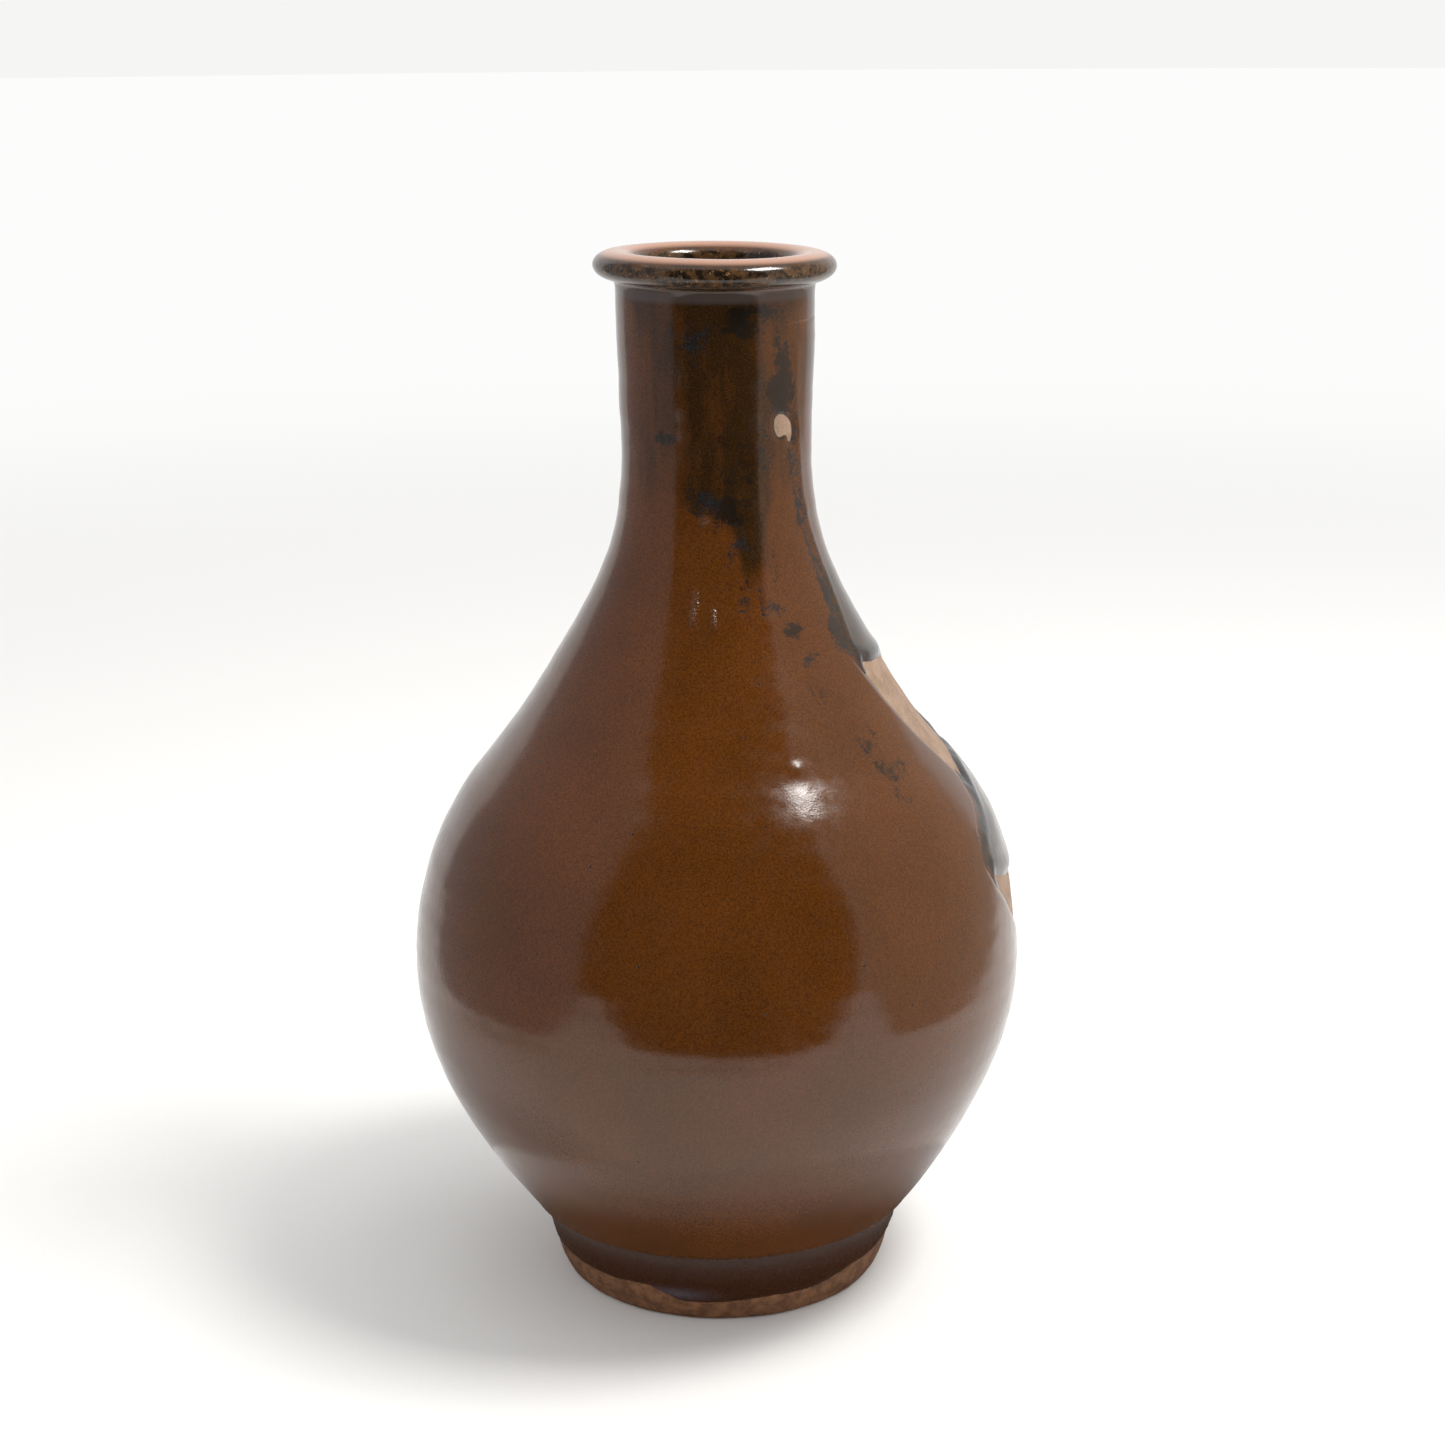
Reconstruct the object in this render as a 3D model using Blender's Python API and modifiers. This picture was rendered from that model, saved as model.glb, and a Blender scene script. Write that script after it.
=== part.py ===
"""Stoneware sake bottle: the thrown clay sections a potter joins, and the glaze coats over them.

Profiles are worked out in millimetres in the plane of radius and height, and turned about +Z.
The bottle stands on z = 0 with its front towards -Y.
"""

import math

import bmesh
import bpy
import numpy as np
from mathutils import Vector
from mathutils.geometry import interpolate_bezier

MM = 0.001
SEGMENTS = 32  # flats round every turned piece
MERGE = 0.00001  # metres, welds a profile's end on the axis

# Heights and radii of the finished bottle, in millimetres
HEIGHT = 270.0
FOOT_TOP = 22.8
BELLY_HEIGHT = 88.0
BELLY_RADIUS = 79.2
NECK_HEIGHT = 224.0
NECK_RADIUS = 23.9
LIP_SEAT = 262.0

# Height, outer radius and slope of the radius with height, up the glazed wall
OUTLINE = (
    (FOOT_TOP, 51.8, 0.77),
    (BELLY_HEIGHT, BELLY_RADIUS, 0.0),
    (125.0, 71.3, -0.47),
    (158.0, 48.5, -0.69),
    (195.0, 27.8, -0.35),
    (NECK_HEIGHT, NECK_RADIUS, 0.01),
    (250.0, 24.8, 0.02),
    (LIP_SEAT, 24.9, 0.0),
)

# The rolled lip is an oval in section
LIP_HALF_WIDTH = 5.6
LIP_HALF_HEIGHT = 3.2
LIP_RADIUS = 24.8
LIP_HEIGHT = HEIGHT - LIP_HALF_HEIGHT
LIP_ANGLES = (180, 150, 120, 90, 60, 30, 0, -25, -50, -75)  # from the mouth over to the underside
MOUTH_RADIUS = 18.9

# The coats and the clay under them
GLAZE = 0.6
GAP = 0.3
CLAY_DEPTH = GLAZE + GAP
WALL_HEIGHTS = (30.0, 95.0, 206.0, LIP_SEAT)
WALL_THICKNESS = (7.0, 5.8, 5.0, 4.2)

# Sections of clay meet in half laps
BELLY_SEAM = 96.0
NECK_SEAM = 206.0
LIP_SEAM = 256.0
LAP = 5.0
ROW_PITCH = 14.0  # largest height between two rings of a wall

# Floor of the bottle and the foot ring that it sits in
FLOOR_TOP = 24.8
FLOOR_FLAT = 34.0
FLOOR_HANDLE = 13.0
FLOOR_STEPS = 5
BOWL_START = 38.0
BOSS_RADIUS = 35.7
BOSS_BOTTOM = 15.0
FOOT_TOP_RADIUS = 46.7
FOOT_BULGE = (45.4, 11.5)
FOOT_LOW = (42.3, 1.4)
FOOT_EDGE = 41.0
FOOT_INNER_EDGE = 31.8
FOOT_INNER_TOP = 33.8
FOOT_CHAMFER = 0.8
GLAZE_LINE = 7.0  # height where the outer coat ends on the foot
CREASE_DROPS = (0.85, 1.2)
CREASE_RADII = (51.2, 48.9)
COAT_END = 258.0  # inside the mouth, where the outer coat meets the liner

# Coverage of the second glaze, as (degrees from the front towards +X, height)
POUR_FACING = 108.0
POUR_TOP = 250.0
POUR_REACH = 100.0
POUR_CLEARANCE = 0.4
NECK_EDGE = ((46.0, 236.0), (50.0, 222.0), (55.0, 205.0), (61.0, 190.0), (57.0, 174.5))
FIRST_TONGUE = ((62.0, 170.5), (72.0, 168.0), (83.0, 165.0), (91.0, 152.0), (86.0, 141.0))
RUN_EDGE = ((76.0, 131.5), (69.0, 126.0), (66.0, 119.5))
LOWER_TONGUES = (
    (74.0, 114.0),
    (84.0, 111.5),
    (92.0, 114.0),
    (98.0, 128.0),
    (103.0, 146.0),
    (108.0, 126.0),
    (114.0, 108.0),
    (121.0, 103.0),
    (128.0, 107.0),
    (134.0, 124.0),
    (139.0, 146.0),
)
BACK_EDGE = ((145.0, 168.0), (150.0, 190.0), (156.0, 215.0), (160.0, 236.0))
UPPER_WINDOW = ((61.0, 167.0), (66.0, 159.5), (73.5, 148.5), (79.5, 138.5))
LOWER_WINDOW = (
    (69.0, 112.0),
    (80.0, 99.5),
    (90.0, 92.0),
    (100.0, 87.0),
    (112.0, 84.0),
    (124.0, 88.0),
    (134.0, 98.0),
    (141.0, 118.0),
    (146.0, 140.0),
)

CLAY = ("stoneware_clay", (0.34, 0.20, 0.12), 0.85)
BROWN = ("brown_glaze", (0.13, 0.045, 0.016), 0.16)
DARK = ("dark_glaze", (0.035, 0.03, 0.028), 0.2)
LINER = ("liner_glaze", (0.11, 0.05, 0.022), 0.2)


def outer_radius(height):
    """Radius of the glazed wall at a height, through the outline's points with their slopes."""
    index = int(np.searchsorted([row[0] for row in OUTLINE], height)) - 1
    index = min(max(index, 0), len(OUTLINE) - 2)
    (z0, r0, s0), (z1, r1, s1) = OUTLINE[index], OUTLINE[index + 1]
    span = z1 - z0
    t = (height - z0) / span
    ends = (2 * t**3 - 3 * t**2 + 1) * r0 + (3 * t**2 - 2 * t**3) * r1
    slopes = (t**3 - 2 * t**2 + t) * s0 + (t**3 - t**2) * s1
    return ends + span * slopes


def wall_point(height, depth):
    """Point of the wall at a height of its outer surface, taken inwards along the normal."""
    step = 0.01
    slope = (outer_radius(height + step) - outer_radius(height - step)) / (2 * step)
    length = math.hypot(1.0, slope)
    return outer_radius(height) - depth / length, height + depth * slope / length


def inner_depth(height):
    return CLAY_DEPTH + float(np.interp(height, WALL_HEIGHTS, WALL_THICKNESS))


def ring_heights():
    """Heights of the rings that every piece shares, so that neighbouring facets stay parallel."""
    stops = [FOOT_TOP, BOWL_START]
    for seam in (BELLY_SEAM, NECK_SEAM, LIP_SEAM):
        stops += [seam, seam + LAP]
    heights = [stops[0]]
    for low, high in zip(stops, stops[1:]):
        count = math.ceil((high - low) / ROW_PITCH)
        heights += list(np.linspace(low, high, count + 1)[1:])
    return heights + [LIP_SEAT]


def wall_side(low, high, extra=0.0, inside=False):
    """Rings of one side of the wall strictly between two heights, upwards."""
    heights = [z for z in ring_heights() if low < z < high]
    depths = [inner_depth(z) + extra if inside else extra for z in heights]
    return [wall_point(z, depth) for z, depth in zip(heights, depths)]


def middle_depth(seam):
    return (CLAY_DEPTH + inner_depth(seam)) / 2


def lap_under(seam):
    """Rim of the section below a seam, from the inside out: a tongue and a shoulder."""
    tongue, shoulder = seam + LAP - GAP / 2, seam - GAP / 2
    face = middle_depth(seam) + GAP / 2
    return [
        wall_point(tongue, inner_depth(tongue)),
        wall_point(tongue, face),
        wall_point(shoulder, face),
        wall_point(shoulder, CLAY_DEPTH),
    ]


def lap_over(seam):
    """Lower end of the section above a seam, from the outside in: a skirt and a rebate."""
    skirt, rebate = seam + GAP / 2, seam + LAP + GAP / 2
    face = middle_depth(seam) - GAP / 2
    return [
        wall_point(skirt, CLAY_DEPTH),
        wall_point(skirt, face),
        wall_point(rebate, face),
        wall_point(rebate, inner_depth(rebate)),
    ]


def floor_curve(lift):
    """From the axis over the flat floor and up its rounded corner to the wall."""
    end = wall_point(BOWL_START, inner_depth(BOWL_START) + lift)
    above = wall_point(BOWL_START + 1, inner_depth(BOWL_START + 1) + lift)
    down = Vector((end[0] - above[0], end[1] - above[1])).normalized()
    corner = interpolate_bezier(
        Vector((FLOOR_FLAT, FLOOR_TOP + lift)),
        Vector((FLOOR_FLAT + FLOOR_HANDLE, FLOOR_TOP + lift)),
        Vector(end) + FLOOR_HANDLE * down,
        Vector(end),
        FLOOR_STEPS,
    )
    return [(0.0, FLOOR_TOP + lift)] + [tuple(point) for point in corner]


def lip_arc(depth):
    """Over the lip's oval, from the mouth to the underside."""
    arc = []
    for angle in map(math.radians, LIP_ANGLES):
        across = (LIP_HALF_WIDTH - depth) * math.cos(angle)
        up = (LIP_HALF_HEIGHT - depth) * math.sin(angle)
        arc.append((LIP_RADIUS + across, LIP_HEIGHT + up))
    return arc


def foot_point(height, proud):
    """Point beside the foot ring's clay wall, a distance outside it."""
    low, high = FOOT_LOW, FOOT_BULGE
    if height >= FOOT_BULGE[1]:
        low, high = FOOT_BULGE, (FOOT_TOP_RADIUS, FOOT_TOP - GAP)
    slope = (high[0] - low[0]) / (high[1] - low[1])
    return low[0] + slope * (height - low[1]) + proud * math.hypot(1.0, slope), height


def coat_path(depth):
    """Outer coat at a depth: up the mouth, over the lip, down the wall and on to the foot."""
    path = [(MOUTH_RADIUS + depth, COAT_END)] + lip_arc(depth) + [wall_point(LIP_SEAT, depth)]
    path += wall_side(FOOT_TOP, LIP_SEAT, depth)[::-1] + [wall_point(FOOT_TOP, depth)]
    for drop, radius in zip(CREASE_DROPS, CREASE_RADII):
        path.append((radius - depth / 2, FOOT_TOP - drop + depth))
    path += [foot_point(z, CLAY_DEPTH - depth) for z in (FOOT_BULGE[1], GLAZE_LINE)]
    return path


def material(name, colour, roughness):
    made = bpy.data.materials.new(name)
    made.use_nodes = True
    shader = made.node_tree.nodes["Principled BSDF"]
    shader.inputs["Base Color"].default_value = (*colour, 1.0)
    shader.inputs["Roughness"].default_value = roughness
    made.diffuse_color = (*colour, 1.0)
    return made


def turned(name, profile, closed, finish, collection):
    """Solid of revolution: a profile of edges with a Screw modifier."""
    count = len(profile)
    edges = [(i, i + 1) for i in range(count - 1)]
    if closed:
        edges.append((count - 1, 0))
    mesh = bpy.data.meshes.new(name)
    mesh.from_pydata([(radius * MM, 0.0, height * MM) for radius, height in profile], edges, [])
    mesh.materials.append(finish)
    piece = bpy.data.objects.new(name, mesh)
    collection.objects.link(piece)
    screw = piece.modifiers.new("turn", "SCREW")
    screw.steps = SEGMENTS
    screw.render_steps = SEGMENTS
    screw.use_merge_vertices = True
    screw.merge_threshold = MERGE
    screw.use_smooth_shade = True
    return piece


def foot_ring(finish, collection):
    """Ring of clay with a ledge inside its top for the floor's boss."""
    top = FOOT_TOP - GAP
    ledge = BOSS_BOTTOM - GAP
    profile = [
        (FOOT_INNER_EDGE, 0.0),
        (FOOT_INNER_EDGE - FOOT_CHAMFER, FOOT_CHAMFER),
        (FOOT_INNER_TOP, ledge),
        (BOSS_RADIUS + GAP, ledge),
        (BOSS_RADIUS + GAP, top),
        (FOOT_TOP_RADIUS, top),
        FOOT_BULGE,
        FOOT_LOW,
        (FOOT_EDGE, 0.0),
    ]
    return turned("foot_ring", profile, True, finish, collection)


def lower_body(finish, collection):
    """Thrown bowl with the floor, up to the seam over the belly."""
    crease = wall_point(FOOT_TOP, CLAY_DEPTH)
    profile = floor_curve(0.0)
    profile += wall_side(BOWL_START, BELLY_SEAM + LAP / 2, inside=True)
    profile += lap_under(BELLY_SEAM)
    profile += wall_side(FOOT_TOP, BELLY_SEAM, CLAY_DEPTH)[::-1]
    profile += [crease, (crease[0] - GAP, FOOT_TOP)]
    profile += [(BOSS_RADIUS, FOOT_TOP), (BOSS_RADIUS, BOSS_BOTTOM), (0.0, BOSS_BOTTOM)]
    return turned("lower_body", profile, False, finish, collection)


def section(name, low_seam, high_seam, finish, collection):
    """Thrown section of the wall between two seams."""
    profile = lap_over(low_seam)
    profile += wall_side(low_seam + LAP + GAP, high_seam + LAP / 2, inside=True)
    profile += lap_under(high_seam)
    profile += wall_side(low_seam + GAP, high_seam, CLAY_DEPTH)[::-1]
    return turned(name, profile, True, finish, collection)


def rolled_lip(finish, collection):
    """Rolled rim with the collar that seats on the neck."""
    profile = lap_over(LIP_SEAM)
    profile += lip_arc(CLAY_DEPTH)
    profile += [wall_point(LIP_SEAT, CLAY_DEPTH)]
    return turned("rolled_lip", profile, True, finish, collection)


def inner_glaze(finish, collection):
    """Liner from the middle of the floor up to the mouth."""
    top = COAT_END - GAP
    profile = floor_curve(GAP + GLAZE)
    profile += wall_side(BOWL_START, top, GAP + GLAZE, inside=True)
    profile += [(MOUTH_RADIUS, top), (MOUTH_RADIUS + GLAZE, top)]
    profile += wall_side(BOWL_START, top, GAP, inside=True)[::-1]
    profile += floor_curve(GAP)[::-1]
    return turned("inner_glaze", profile, False, finish, collection)


def outer_coat(name, finish, collection):
    """Whole outer coat, before its opening or its own outline is cut."""
    return turned(name, coat_path(0.0) + coat_path(GLAZE)[::-1], True, finish, collection)


def unrolled(points, shift=0.0):
    """Points on the wall as seen along the pour's facing direction: (across, height)."""
    flat = []
    for azimuth, height in points:
        across = outer_radius(height) * math.sin(math.radians(azimuth - POUR_FACING))
        flat.append((across + shift, height))
    return flat


def pour_outline():
    """Outline of the second glaze: down the neck, along its tongues and up the back."""
    down = ((NECK_EDGE[0][0], POUR_TOP),) + NECK_EDGE + FIRST_TONGUE + RUN_EDGE
    up = LOWER_TONGUES + BACK_EDGE + ((BACK_EDGE[-1][0], POUR_TOP),)
    return unrolled(down + up)


def opening_outline():
    """Outline of the opening in the first glaze: room for the pour, and the bare clay."""
    top = POUR_TOP + POUR_CLEARANCE
    points = unrolled(((NECK_EDGE[0][0], top),) + NECK_EDGE, -POUR_CLEARANCE)
    points += unrolled(UPPER_WINDOW)
    points += unrolled(RUN_EDGE, -POUR_CLEARANCE)
    points += unrolled(LOWER_WINDOW)
    points += unrolled(BACK_EDGE + ((BACK_EDGE[-1][0], top),), POUR_CLEARANCE)
    return points


def prism(name, outline, collection):
    """Cutter: a flat outline pushed out from the axis in the pour's facing direction."""
    shape = bmesh.new()
    corners = [shape.verts.new((across * MM, 0.0, height * MM)) for across, height in outline]
    face = shape.faces.new(corners)
    pushed = bmesh.ops.extrude_face_region(shape, geom=[face])["geom"]
    moved = [item for item in pushed if isinstance(item, bmesh.types.BMVert)]
    bmesh.ops.translate(shape, verts=moved, vec=(0.0, -POUR_REACH * MM, 0.0))
    bmesh.ops.recalc_face_normals(shape, faces=shape.faces)
    mesh = bpy.data.meshes.new(name)
    shape.to_mesh(mesh)
    shape.free()
    cutter = bpy.data.objects.new(name, mesh)
    cutter.rotation_euler.z = math.radians(POUR_FACING)
    cutter.hide_render = True
    cutter.display_type = "WIRE"
    collection.objects.link(cutter)
    return cutter


def cut(piece, cutter, operation):
    boolean = piece.modifiers.new("cut", "BOOLEAN")
    boolean.operation = operation
    boolean.solver = "EXACT"
    boolean.object = cutter


def main():
    for old in list(bpy.data.objects):
        bpy.data.objects.remove(old, do_unlink=True)
    parts = bpy.data.collections.new("sake_bottle")
    cutters = bpy.data.collections.new("cutters")
    for collection in (parts, cutters):
        bpy.context.scene.collection.children.link(collection)

    clay = material(*CLAY)
    foot_ring(clay, parts)
    lower_body(clay, parts)
    section("shoulder_section", BELLY_SEAM, NECK_SEAM, clay, parts)
    section("neck_section", NECK_SEAM, LIP_SEAM, clay, parts)
    rolled_lip(clay, parts)
    inner_glaze(material(*LINER), parts)
    first = outer_coat("brown_glaze", material(*BROWN), parts)
    cut(first, prism("opening_cutter", opening_outline(), cutters), "DIFFERENCE")
    second = outer_coat("poured_glaze", material(*DARK), parts)
    cut(second, prism("pour_cutter", pour_outline(), cutters), "INTERSECT")


main()
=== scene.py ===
"""Looks of the stoneware sake bottle: clay, two outer glazes and a liner, in soft studio light.

Lengths are worked out in millimetres in the bottle's own frame, and written to the meshes in
metres. Azimuth is in degrees from the front (-Y) towards the right (+X).
"""

import math

import bpy
import numpy as np
from mathutils import Matrix, Vector, noise

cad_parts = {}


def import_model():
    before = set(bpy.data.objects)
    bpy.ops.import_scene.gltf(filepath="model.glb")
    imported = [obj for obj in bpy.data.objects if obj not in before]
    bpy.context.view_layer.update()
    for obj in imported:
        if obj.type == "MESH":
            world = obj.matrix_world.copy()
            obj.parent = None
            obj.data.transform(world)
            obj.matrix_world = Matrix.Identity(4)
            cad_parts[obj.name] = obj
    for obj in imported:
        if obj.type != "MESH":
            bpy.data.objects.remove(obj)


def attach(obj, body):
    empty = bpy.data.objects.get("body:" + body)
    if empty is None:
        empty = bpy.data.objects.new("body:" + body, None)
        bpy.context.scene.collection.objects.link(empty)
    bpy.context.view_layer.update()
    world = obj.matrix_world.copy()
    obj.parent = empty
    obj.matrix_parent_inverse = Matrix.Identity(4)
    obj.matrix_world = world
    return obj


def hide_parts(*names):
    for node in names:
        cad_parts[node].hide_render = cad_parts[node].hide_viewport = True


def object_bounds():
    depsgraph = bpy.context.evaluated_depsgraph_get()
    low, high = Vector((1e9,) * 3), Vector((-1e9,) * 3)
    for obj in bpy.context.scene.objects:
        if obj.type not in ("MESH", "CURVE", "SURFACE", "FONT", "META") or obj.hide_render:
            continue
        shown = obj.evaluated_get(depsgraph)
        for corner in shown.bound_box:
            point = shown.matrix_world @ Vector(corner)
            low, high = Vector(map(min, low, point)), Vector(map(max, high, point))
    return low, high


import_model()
cad_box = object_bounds()

MM = (cad_box[1].z - cad_box[0].z) / 270.0  # metres per millimetre of the drawing

# Height, outer radius and slope of the glazed wall, as in the part
OUTLINE = (
    (22.8, 51.8, 0.77),
    (88.0, 79.2, 0.0),
    (125.0, 71.3, -0.47),
    (158.0, 48.5, -0.69),
    (195.0, 27.8, -0.35),
    (224.0, 23.9, 0.01),
    (250.0, 24.8, 0.02),
    (262.0, 24.9, 0.0),
)
LIP_RADIUS, LIP_HEIGHT = 24.8, 266.4
LIP_HALF_WIDTH, LIP_HALF_HEIGHT = 5.6, 3.6
LIP_INSIDE = (LIP_RADIUS - LIP_HALF_WIDTH, LIP_HEIGHT)
LIP_ROOT = (24.95, 260.6)  # where the lip's underside runs into the neck
MOUTH_RADIUS = 18.9
GLAZE = 0.6
LAP = 2.2  # how far the pour runs over the brown
SUNK = -0.3  # thickness past an edge: the coat is then under the clay's surface
SEATED = 0.9  # how deep the pour and the liner reach into the clay
UNDER_DEPTH = 1.9  # how deep the brown coat's hidden underside lies
UNDER_STEP = 8  # rows of the coat to one row of its underside
FLOOR_BOTTOM, FLOOR_TOP = 14.7, 24.8  # of the clay at its middle
WALL_HEIGHTS = (30.0, 95.0, 206.0, 262.0)
WALL_THICKNESS = (7.0, 5.8, 5.0, 4.2)

# Edges of the glazes, as (azimuth, height)
NECK_EDGE = ((46.0, 236.0), (50.0, 222.0), (55.0, 205.0), (61.0, 190.0), (57.0, 174.5))
FIRST_TONGUE = (
    (62.0, 170.5),
    (72.0, 168.8),
    (84.0, 167.8),
    (98.0, 166.0),
    (109.0, 158.5),
    (108.0, 148.5),
    (99.0, 142.5),
    (87.0, 139.6),
)
RUN_EDGE = ((76.0, 131.5), (69.0, 126.0), (66.0, 119.5))
LOWER_TONGUES = (
    (74.0, 114.0),
    (84.0, 111.5),
    (92.0, 114.0),
    (98.0, 128.0),
    (103.0, 146.0),
    (108.0, 126.0),
    (114.0, 108.0),
    (121.0, 103.0),
    (128.0, 107.0),
    (134.0, 124.0),
    (139.0, 146.0),
)
BACK_EDGE = ((145.0, 168.0), (150.0, 190.0), (156.0, 215.0), (160.0, 236.0))
UPPER_WINDOW = ((61.0, 167.0), (66.0, 159.5), (73.5, 148.5), (79.5, 138.5))
LOWER_WINDOW = (
    (69.0, 112.0),
    (80.0, 99.5),
    (90.0, 92.0),
    (100.0, 87.0),
    (112.0, 84.0),
    (124.0, 88.0),
    (134.0, 98.0),
    (141.0, 118.0),
    (146.0, 140.0),
)
BARE_SPOT = (
    (37.5, 230.9),
    (41.0, 231.8),
    (46.0, 231.3),
    (51.2, 229.6),
    (52.8, 227.0),
    (52.0, 224.6),
    (49.4, 224.4),
    (47.0, 226.2),
    (41.0, 226.0),
    (37.6, 228.0),
)
FLECK = ((78.9, 139.6), (79.9, 139.9), (80.6, 137.4), (79.9, 136.6))

# Glaze line on the foot, round the whole ring
FOOT_LINE = (
    (-180, 7.6),
    (-120, 6.4),
    (-80, 8.4),
    (-45, 8.4),
    (-25, 9.4),
    (-14, 5.9),
    (-7, 5.6),
    (12.7, 6.8),
    (32, 7.6),
    (49, 9.9),
    (60, 9.6),
    (76, 12.0),
    (110, 8.0),
    (150, 5.8),
    (180, 7.6),
)

# Profile of the foot under the crease, down to the rim
CREASE = ((51.8, 22.8), (51.45, 22.1), (50.6, 21.7), (49.3, 21.55), (48.3, 21.35), (47.7, 20.7))
FOOT_SIDE = ((47.5, 19.0), (47.3, 17.0), (46.6, 13.0), (45.6, 9.0), (44.5, 5.0), (43.4, 2.4), (42.9, 1.4))


def smooth(low, high, value):
    t = np.clip((np.asarray(value, float) - low) / (high - low), 0.0, 1.0)
    return t * t * (3.0 - 2.0 * t)


def spline(points, count):
    """Catmull-Rom curve through the points, count samples to a span."""
    points = np.asarray(points, float)
    ends = np.vstack([2 * points[0] - points[1], points, 2 * points[-1] - points[-2]])
    out = []
    for a, b, c, d in zip(ends, ends[1:], ends[2:], ends[3:]):
        for t in np.arange(count) / count:
            out.append(
                0.5 * (2 * b + (c - a) * t + (2 * a - 5 * b + 4 * c - d) * t**2)
                + 0.5 * (3 * b - a - 3 * c + d) * t**3
            )
    return np.array(out + [points[-1]])


def wall_radius(height):
    """Radius of the glazed wall at each height, through the outline's points with their slopes."""
    height = np.asarray(height, float)
    knots = np.array(OUTLINE)
    index = np.clip(np.searchsorted(knots[:, 0], height) - 1, 0, len(knots) - 2)
    low, high = knots[index], knots[index + 1]
    span = high[..., 0] - low[..., 0]
    t = (height - low[..., 0]) / span
    ends = (2 * t**3 - 3 * t**2 + 1) * low[..., 1] + (3 * t**2 - 2 * t**3) * high[..., 1]
    return ends + span * ((t**3 - 2 * t**2 + t) * low[..., 2] + (t**3 - t**2) * high[..., 2])


def lip_arc(first, last):
    """Points over the lip's oval between two angles, from the mouth (180) to the underside."""
    angles = np.radians(np.linspace(first, last, 60))
    across = LIP_RADIUS + LIP_HALF_WIDTH * np.cos(angles)
    return np.column_stack([across, LIP_HEIGHT + LIP_HALF_HEIGHT * np.sin(angles)])


def bezier(a, b, c, d, count=24):
    t = np.linspace(0, 1, count)[:, None]
    a, b, c, d = (np.array(p, float) for p in (a, b, c, d))
    return (1 - t) ** 3 * a + 3 * (1 - t) ** 2 * t * b + 3 * (1 - t) * t**2 * c + t**3 * d


class Path:
    """Profile as (radius, height) against its own length, with normals to its right."""

    def __init__(self, points):
        points = np.asarray(points, float)
        steps = np.hypot(*np.diff(points, axis=0).T)
        keep = np.concatenate([[True], steps > 1e-6])
        points = points[keep]
        raw = np.concatenate([[0], np.cumsum(np.hypot(*np.diff(points, axis=0).T))])
        self.s = np.arange(0, raw[-1], 0.1)
        self.points = np.column_stack([np.interp(self.s, raw, points[:, i]) for i in (0, 1)])
        kernel = np.hanning(9)
        kernel /= kernel.sum()
        padded = np.pad(self.points, ((4, 4), (0, 0)), mode="reflect", reflect_type="odd")
        self.points = np.column_stack([np.convolve(padded[:, i], kernel, "valid") for i in (0, 1)])
        tangent = np.gradient(self.points, self.s, axis=0)
        tangent /= np.hypot(*tangent.T)[:, None]
        self.normals = np.column_stack([-tangent[:, 1], tangent[:, 0]])

    def at(self, s):
        values = np.column_stack([self.points, self.normals])
        return np.column_stack([np.interp(s, self.s, values[:, i]) for i in range(4)])


def outer_path():
    """From inside the mouth over the lip, down the wall, under the crease and down the foot."""
    mouth = bezier((MOUTH_RADIUS, 250.0), (MOUTH_RADIUS, 258.0), (19.2, 262.0), LIP_INSIDE)
    over = lip_arc(180, -78)
    under = bezier(over[-1], (25.4, 262.6), (25.0, 262.2), LIP_ROOT)
    heights = np.linspace(LIP_ROOT[1], OUTLINE[0][0], 1600)
    wall = np.column_stack([wall_radius(heights), heights])
    crease = spline(CREASE + FOOT_SIDE, 12)
    return Path(np.vstack([mouth, over[1:], under[1:], wall[1:], crease[1:]]))


OUTER = outer_path()


def nearest_s(radius, height):
    """Length along the outer profile of its point nearest to this one."""
    return float(OUTER.s[np.argmin(np.hypot(*(OUTER.points - (radius, height)).T))])


WALL_TOP = nearest_s(*LIP_ROOT)
WALL_END = nearest_s(OUTLINE[0][1], OUTLINE[0][0])


def profile_at(s):
    """Radius, height and outward direction of the outer profile, for a grid of lengths."""
    return np.moveaxis(OUTER.at(s.ravel()).reshape(s.shape + (4,)), -1, 0)


def height_to_s(height):
    """Length along the outer profile of a height on the wall."""
    inside = (OUTER.s >= WALL_TOP) & (OUTER.s <= WALL_END)
    return np.interp(-np.asarray(height, float), -OUTER.points[inside, 1], OUTER.s[inside])


def foot_to_s(height):
    inside = OUTER.s > WALL_END
    return np.interp(-np.asarray(height, float), -OUTER.points[inside, 1], OUTER.s[inside])


def lumps(azimuth, s, size, seed):
    """Smooth noise over the surface, about -1 to 1, with features of that size in millimetres."""
    rows = OUTER.at(s.ravel())
    angle = np.radians(azimuth.ravel())
    x, y = rows[:, 0] * np.sin(angle), -rows[:, 0] * np.cos(angle)
    z = rows[:, 1]
    values = [
        noise.noise(Vector((a / size + seed, b / size - seed, c / size)))
        for a, b, c in zip(x, y, z)
    ]
    return np.array(values).reshape(azimuth.shape)


# Rings left by the fingers: height, half-width, how far they stand out, azimuth and its spread
RINGS = (
    (140.5, 5.2, 0.36, 34.0, 45.0),
    (183.0, 3.2, 0.24, 25.0, 50.0),
    (208.0, 2.2, 0.30, -20.0, 120.0),
    (231.0, 5.0, 0.30, -80.0, 60.0),
    (118.0, 7.0, 0.25, -75.0, 40.0),
    (132.0, 3.5, 0.18, -80.0, 35.0),
    (226.0, 4.0, 0.25, 150.0, 70.0),
    (170.0, 5.0, 0.25, 170.0, 80.0),
    (112.0, 6.0, 0.25, 130.0, 60.0),
    (60.0, 8.0, 0.20, 160.0, 80.0),
)


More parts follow.
